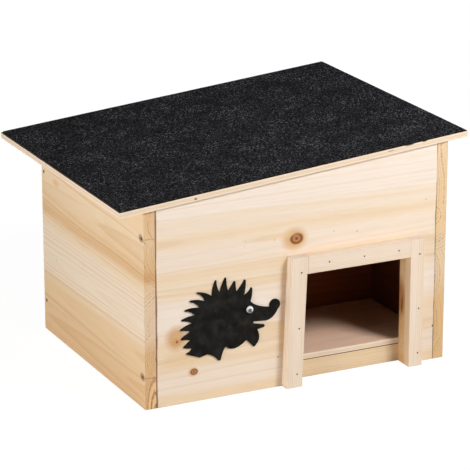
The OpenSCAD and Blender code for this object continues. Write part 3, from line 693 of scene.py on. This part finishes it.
# %% Felt sheet
felt_low, felt_high = roof_box("roof_felt")
felt_size = felt_high - felt_low
rim_round, cut_zone, cut_depth, pressed = 0.0006, 0.0015, 0.0005, 0.0002
sheet = bmesh.new()
bmesh.ops.create_grid(sheet, x_segments=90, y_segments=72, size=0.5)
bmesh.ops.scale(sheet, vec=(felt_size.x, felt_size.y, 1.0), verts=sheet.verts)
bmesh.ops.solidify(sheet, geom=sheet.faces, thickness=felt_size.z)
bmesh.ops.recalc_face_normals(sheet, faces=sheet.faces)
top = max(v.co.z for v in sheet.verts)
rim = [e for e in sheet.edges if all(v.co.z > top - 1e-6 for v in e.verts)
       and any(abs(f.normal.z) < 0.5 for f in e.link_faces)]
bmesh.ops.bevel(sheet, geom=rim, offset=rim_round, offset_type="OFFSET", segments=2, profile=0.5,
                affect="EDGES", clamp_overlap=True, material=-1)
half = felt_size / 2
for v in sheet.verts:
    for axis, other in ((0, 1), (1, 0)):
        if abs(v.co[axis]) > half[axis] - cut_zone:
            # 60 waves to the metre, drawn anew for each of the four sides
            place = Vector((60 * v.co[other], 7.0 * axis, 3.0 * math.copysign(1, v.co[axis])))
            ripple = 0.5 + 0.5 * noise.noise(place)
            v.co[axis] -= math.copysign(cut_depth * ripple, v.co[axis])
    if v.co.z > top - pressed:
        v.co.z -= pressed * (0.5 + 0.5 * noise.noise(25 * v.co))
centre = (felt_low + felt_high) / 2 - Vector((0, 0, top - felt_size.z / 2))
bmesh.ops.translate(sheet, vec=centre, verts=sheet.verts)
on_roof = Matrix.Translation(corner) @ sloped.inverted().to_4x4()
bmesh.ops.transform(sheet, matrix=on_roof, verts=sheet.verts)
mesh = bpy.data.meshes.new("roofing_felt_sheet")
sheet.to_mesh(mesh)
sheet.free()
felt = bpy.data.objects.new("roofing_felt_sheet", mesh)
scene.collection.objects.link(felt)
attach(felt, "roof")
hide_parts("roof_felt")
print("felt", len(mesh.polygons), "faces")

# %% [markdown]
# The granules are about 1 mm across and mostly black, with some grey and a few pale
# ones that catch the light. They are drawn a little wider, so that the picture still
# shows them. One cell pattern gives them: the cell's own random value is the granule's
# colour, and the distance to its middle is its height. The cut edge of the sheet has
# none and shows the brown bitumen.

# %% Slate granules on bitumen
slate, tree = blank("slate_granules_on_bitumen")
seen = wire(tree, "TexCoord").node
granule_mm = 1.3
grit = wire(tree, "Mapping", seen.outputs["Object"], None, (0.0, slope, 0.0), in_mm)
cell = wire(tree, "TexVoronoi", grit, named={"Scale": 1 / granule_mm}).node
chance = wire(tree, "SeparateColor", cell.outputs["Color"]).node
worn = wire(tree, "TexNoise", grit, named={"Scale": 1 / 45, "Detail": 3.0})
worn = wire(tree, "MapRange", worn, 0.35, 0.7, -0.05, 0.05)
pick = wire(tree, "Math", chance.outputs[0], worn, operation="ADD")
colour = wire(tree, "ValToRGB", pick, stops=[
    (0.0, "#1a1a1c"), (0.45, "#242426"), (0.7, "#303032"), (0.86, "#49494c"), (0.95, "#666669"),
    (1.0, "#929296")])
upward = wire(tree, "SeparateXYZ", seen.outputs["Normal"]).node.outputs["Z"]
bare = wire(tree, "MapRange", upward, 0.5, 0.9, 1.0, 0.0)
colour = wire(tree, "Mix", named={0: bare, 6: colour, 7: linear("#21150d")}, out=2, data_type="RGBA")
height = wire(tree, "MapRange", cell.outputs["Distance"], 0.0, 0.7, 1.0, 0.0)
height = wire(tree, "Math", height, chance.outputs[1], operation="MULTIPLY")
relief = wire(tree, "Bump", named={"Strength": 0.7, "Distance": 0.0006, "Height": height})
gloss = wire(tree, "MapRange", chance.outputs[2], 0.0, 1.0, 0.55, 0.95)
stone = wire(tree, "BsdfPrincipled", named={"Base Color": colour, "Roughness": gloss, "Normal": relief,
                                            "IOR": 1.5, "Specular IOR Level": 0.0})
wire(tree, "OutputMaterial", stone)
felt.data.materials.append(slate)
print(slate.name, len(tree.nodes), "nodes")

# %% [markdown]
# ## The felt hedgehog
# The figure is die-cut from black craft felt, 1.5 mm thick. Its solid has the right
# outline, so it stays. Felt has no weave: matted fibres lie in every direction, which
# fine noise in colour and relief gives, with a touch of sheen for the loose hairs. The
# cut edge is painted a lighter brown: a painted highlight, where the light catches it.

# %% Craft felt
craft, tree = blank("black_craft_felt")
seen = wire(tree, "TexCoord").node
wool = wire(tree, "Mapping", seen.outputs["Object"], None, None, in_mm)
mat = wire(tree, "TexNoise", wool, named={"Scale": 1.1, "Detail": 5.0, "Roughness": 0.7, "Distortion": 1.5})
patch = wire(tree, "TexNoise", wool, named={"Scale": 1 / 16, "Detail": 4.0})
mixed = wire(tree, "Math", patch, 0.8, mat, operation="MULTIPLY_ADD")
colour = wire(tree, "ValToRGB", mixed, stops=[(0.7, "#12110f"), (0.9, "#1b1a17"), (1.0, "#2a2825")])
# The cut edge is painted a lighter brown: a painted highlight where the light catches it
side = wire(tree, "SeparateXYZ", seen.outputs["Normal"]).node.outputs["Y"]
side = wire(tree, "Math", side, operation="ABSOLUTE")
side = wire(tree, "MapRange", side, 0.3, 0.7, 0.7, 0.0)
colour = wire(tree, "Mix", named={0: side, 6: colour, 7: linear("#3b2f26")}, out=2, data_type="RGBA")
soft = wire(tree, "Bevel", 0.0006, samples=6)
relief = wire(tree, "Bump", named={"Strength": 0.6, "Distance": 0.0004, "Height": mat, "Normal": soft})
matted = wire(tree, "BsdfPrincipled", named={"Base Color": colour, "Roughness": 0.95, "Normal": relief,
                                             "Sheen Weight": 0.04, "Sheen Roughness": 0.5,
                                             "Specular IOR Level": 0.03})
wire(tree, "OutputMaterial", matted)
dress(craft, "hedgehog_cutout")

# %% [markdown]
# ## The wobble eye
# A wobble eye is a white disc, a loose black disc and a clear dome glued over both.
# All three are turned shapes, so each is one profile, spun round the eye's axis. The
# solids have the same sizes, with facets; the spun pieces are smooth.

# %% Eye pieces
def turned(name, profile, node, body):
    """profile: (radius, height above the seat) from point to point, in mm."""
    low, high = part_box(node)
    shape = bmesh.new()
    line = [shape.verts.new((r / MM, 0.0, h / MM)) for r, h in profile]
    edges = [shape.edges.new(pair) for pair in zip(line, line[1:])]
    bmesh.ops.spin(shape, geom=[*line, *edges], cent=(0, 0, 0), axis=(0, 0, 1), angle=2 * math.pi, steps=40,
                   use_merge=True)
    bmesh.ops.remove_doubles(shape, verts=shape.verts, dist=1e-6)
    bmesh.ops.recalc_face_normals(shape, faces=shape.faces)
    for face in shape.faces:
        face.smooth = True
    seat = Vector(((low.x + high.x) / 2, high.y, (low.z + high.z) / 2))
    facing_front = Matrix.Translation(seat) @ Matrix.Rotation(math.pi / 2, 4, "X")
    bmesh.ops.transform(shape, matrix=facing_front, verts=shape.verts)
    mesh = bpy.data.meshes.new(name)
    shape.to_mesh(mesh)
    shape.free()
    piece = bpy.data.objects.new(name, mesh)
    scene.collection.objects.link(piece)
    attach(piece, body)
    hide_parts(node)
    print(name, len(mesh.polygons), "faces at", [round(MM * c, 1) for c in seat - corner], "mm")
    return piece


disc_profile = [(0, 0), (4.8, 0), (4.98, 0.15), (5, 0.4), (4.98, 0.65), (4.8, 0.8), (0, 0.8)]
pupil_profile = [(0, 0), (2.85, 0), (2.97, 0.1), (3, 0.25), (2.97, 0.4), (2.85, 0.5), (0, 0.5)]
dome_outside = [(4.6, 0), (5, 0), (5, 0.9), (4.93, 1.25), (4.6, 1.55), (3.9, 1.85), (2.8, 2.2), (1.4, 2.43),
                (0, 2.5)]
dome_inside = [(0, 2.1), (1.4, 2.03), (2.7, 1.8), (3.75, 1.45), (4.35, 1.2), (4.58, 0.95), (4.6, 0.8),
               (4.6, 0)]
disc = turned("eye_disc", disc_profile, "eye_backing", "house")
pupil = turned("eye_pupil_disc", pupil_profile, "eye_pupil", "pupil")
dome = turned("eye_clear_dome", dome_outside + dome_inside, "eye_dome", "house")

# %% [markdown]
# Pressed polystyrene gives the white disc a soft gloss; the pupil is a satin chip, of
# a black that is more of a dark grey; the dome is clear polyester, which bends light
# like glass of a low index. A faint mottle stands for the marks that small mouldings
# have from handling.

# %% Eye plastics
def moulded(name, light, dark, roughness, **extra):
    finish, tree = blank(name)
    seen = wire(tree, "TexCoord").node
    grain = wire(tree, "Mapping", seen.outputs["Object"], None, None, in_mm)
    mottle = wire(tree, "TexNoise", grain, named={"Scale": 0.8, "Detail": 3.0})
    colour = wire(tree, "ValToRGB", mottle, stops=[(0.35, dark), (0.65, light)])
    rough = wire(tree, "MapRange", mottle, 0.3, 0.7, 0.7 * roughness, 1.3 * roughness)
    relief = wire(tree, "Bump", named={"Strength": 0.08, "Distance": 0.0001, "Height": mottle})
    shell = wire(tree, "BsdfPrincipled", named={"Base Color": colour, "Roughness": rough, "Normal": relief,
                                                **extra})
    wire(tree, "OutputMaterial", shell)
    return finish


clear = {"Transmission Weight": 1.0, "IOR": 1.4}
disc.data.materials.append(moulded("white_polystyrene", "#f4f4f2", "#e8e8e6", roughness=0.3, IOR=1.59))
pupil.data.materials.append(moulded("black_polystyrene", "#505054", "#3e3e41", roughness=0.4, IOR=1.59))
dome.data.materials.append(moulded("clear_polyester", "#ffffff", "#fbfcfc", roughness=0.04, **clear))
print("eye of", ", ".join(piece.data.materials[0].name for piece in (disc, pupil, dome)))

# %% [markdown]
# ## Hinges and nails
# The hinges are pressed steel with bright zinc, brushed a little by the press and by
# hands; their screws are zinc with a yellow passivation. The nails and brads are plain
# steel, dark from oil and scale, sunk below the wood. All are metals, so the colour
# sits in the reflection and the default index stays; streaks in the roughness do the
# rest.

# %% Metal finishes
def steel(name, light, dark, roughness, grain_mm):
    finish, tree = blank(name)
    seen = wire(tree, "TexCoord").node
    grain = wire(tree, "Mapping", seen.outputs["Object"], None, None, in_mm)
    streak = wire(tree, "VectorMath", grain, [1 / g for g in grain_mm], operation="MULTIPLY")
    streak = wire(tree, "TexNoise", streak, named={"Scale": 1.0, "Detail": 4.0, "Roughness": 0.6})
    colour = wire(tree, "ValToRGB", streak, stops=[(0.3, dark), (0.7, light)])
    rough = wire(tree, "MapRange", streak, 0.3, 0.7, 1.25 * roughness, 0.8 * roughness)
    soft = wire(tree, "Bevel", 0.0003, samples=6)
    relief = wire(tree, "Bump", named={"Strength": 0.15, "Distance": 0.0001, "Height": streak,
                                       "Normal": soft})
    metal = wire(tree, "BsdfPrincipled", named={"Base Color": colour, "Metallic": 1.0, "Roughness": rough,
                                                "Normal": relief})
    wire(tree, "OutputMaterial", metal)
    return finish


dress(steel("zinc_plated_steel", "#d3d2cc", "#b3b2ac", roughness=0.32, grain_mm=(1.2, 9.0, 1.2)),
      *[name for name in part if name.startswith("hinge_") and not name.endswith("_screws")])
dress(steel("yellow_chromated_steel", "#c8b27c", "#a48a55", roughness=0.35, grain_mm=(1.5, 1.5, 1.5)),
      "hinge_wall_screws", "hinge_roof_screws")
dress(steel("oiled_nail_steel", "#33200f", "#1a0e06", roughness=0.7, grain_mm=(0.8, 0.8, 0.8)),
      *[name for name in part if name.endswith("_nails") or name.endswith("_brads")])

# %% [markdown]
# ## Sizes
# The box of the dressed model, without the studio paper, is measured and printed in mm.
# The dressed model has to stay inside the box of the CAD solids.

# %% Write the sizes and finish
low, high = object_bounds()
print("visual box", [round(MM * d, 1) for d in high - low], "mm")
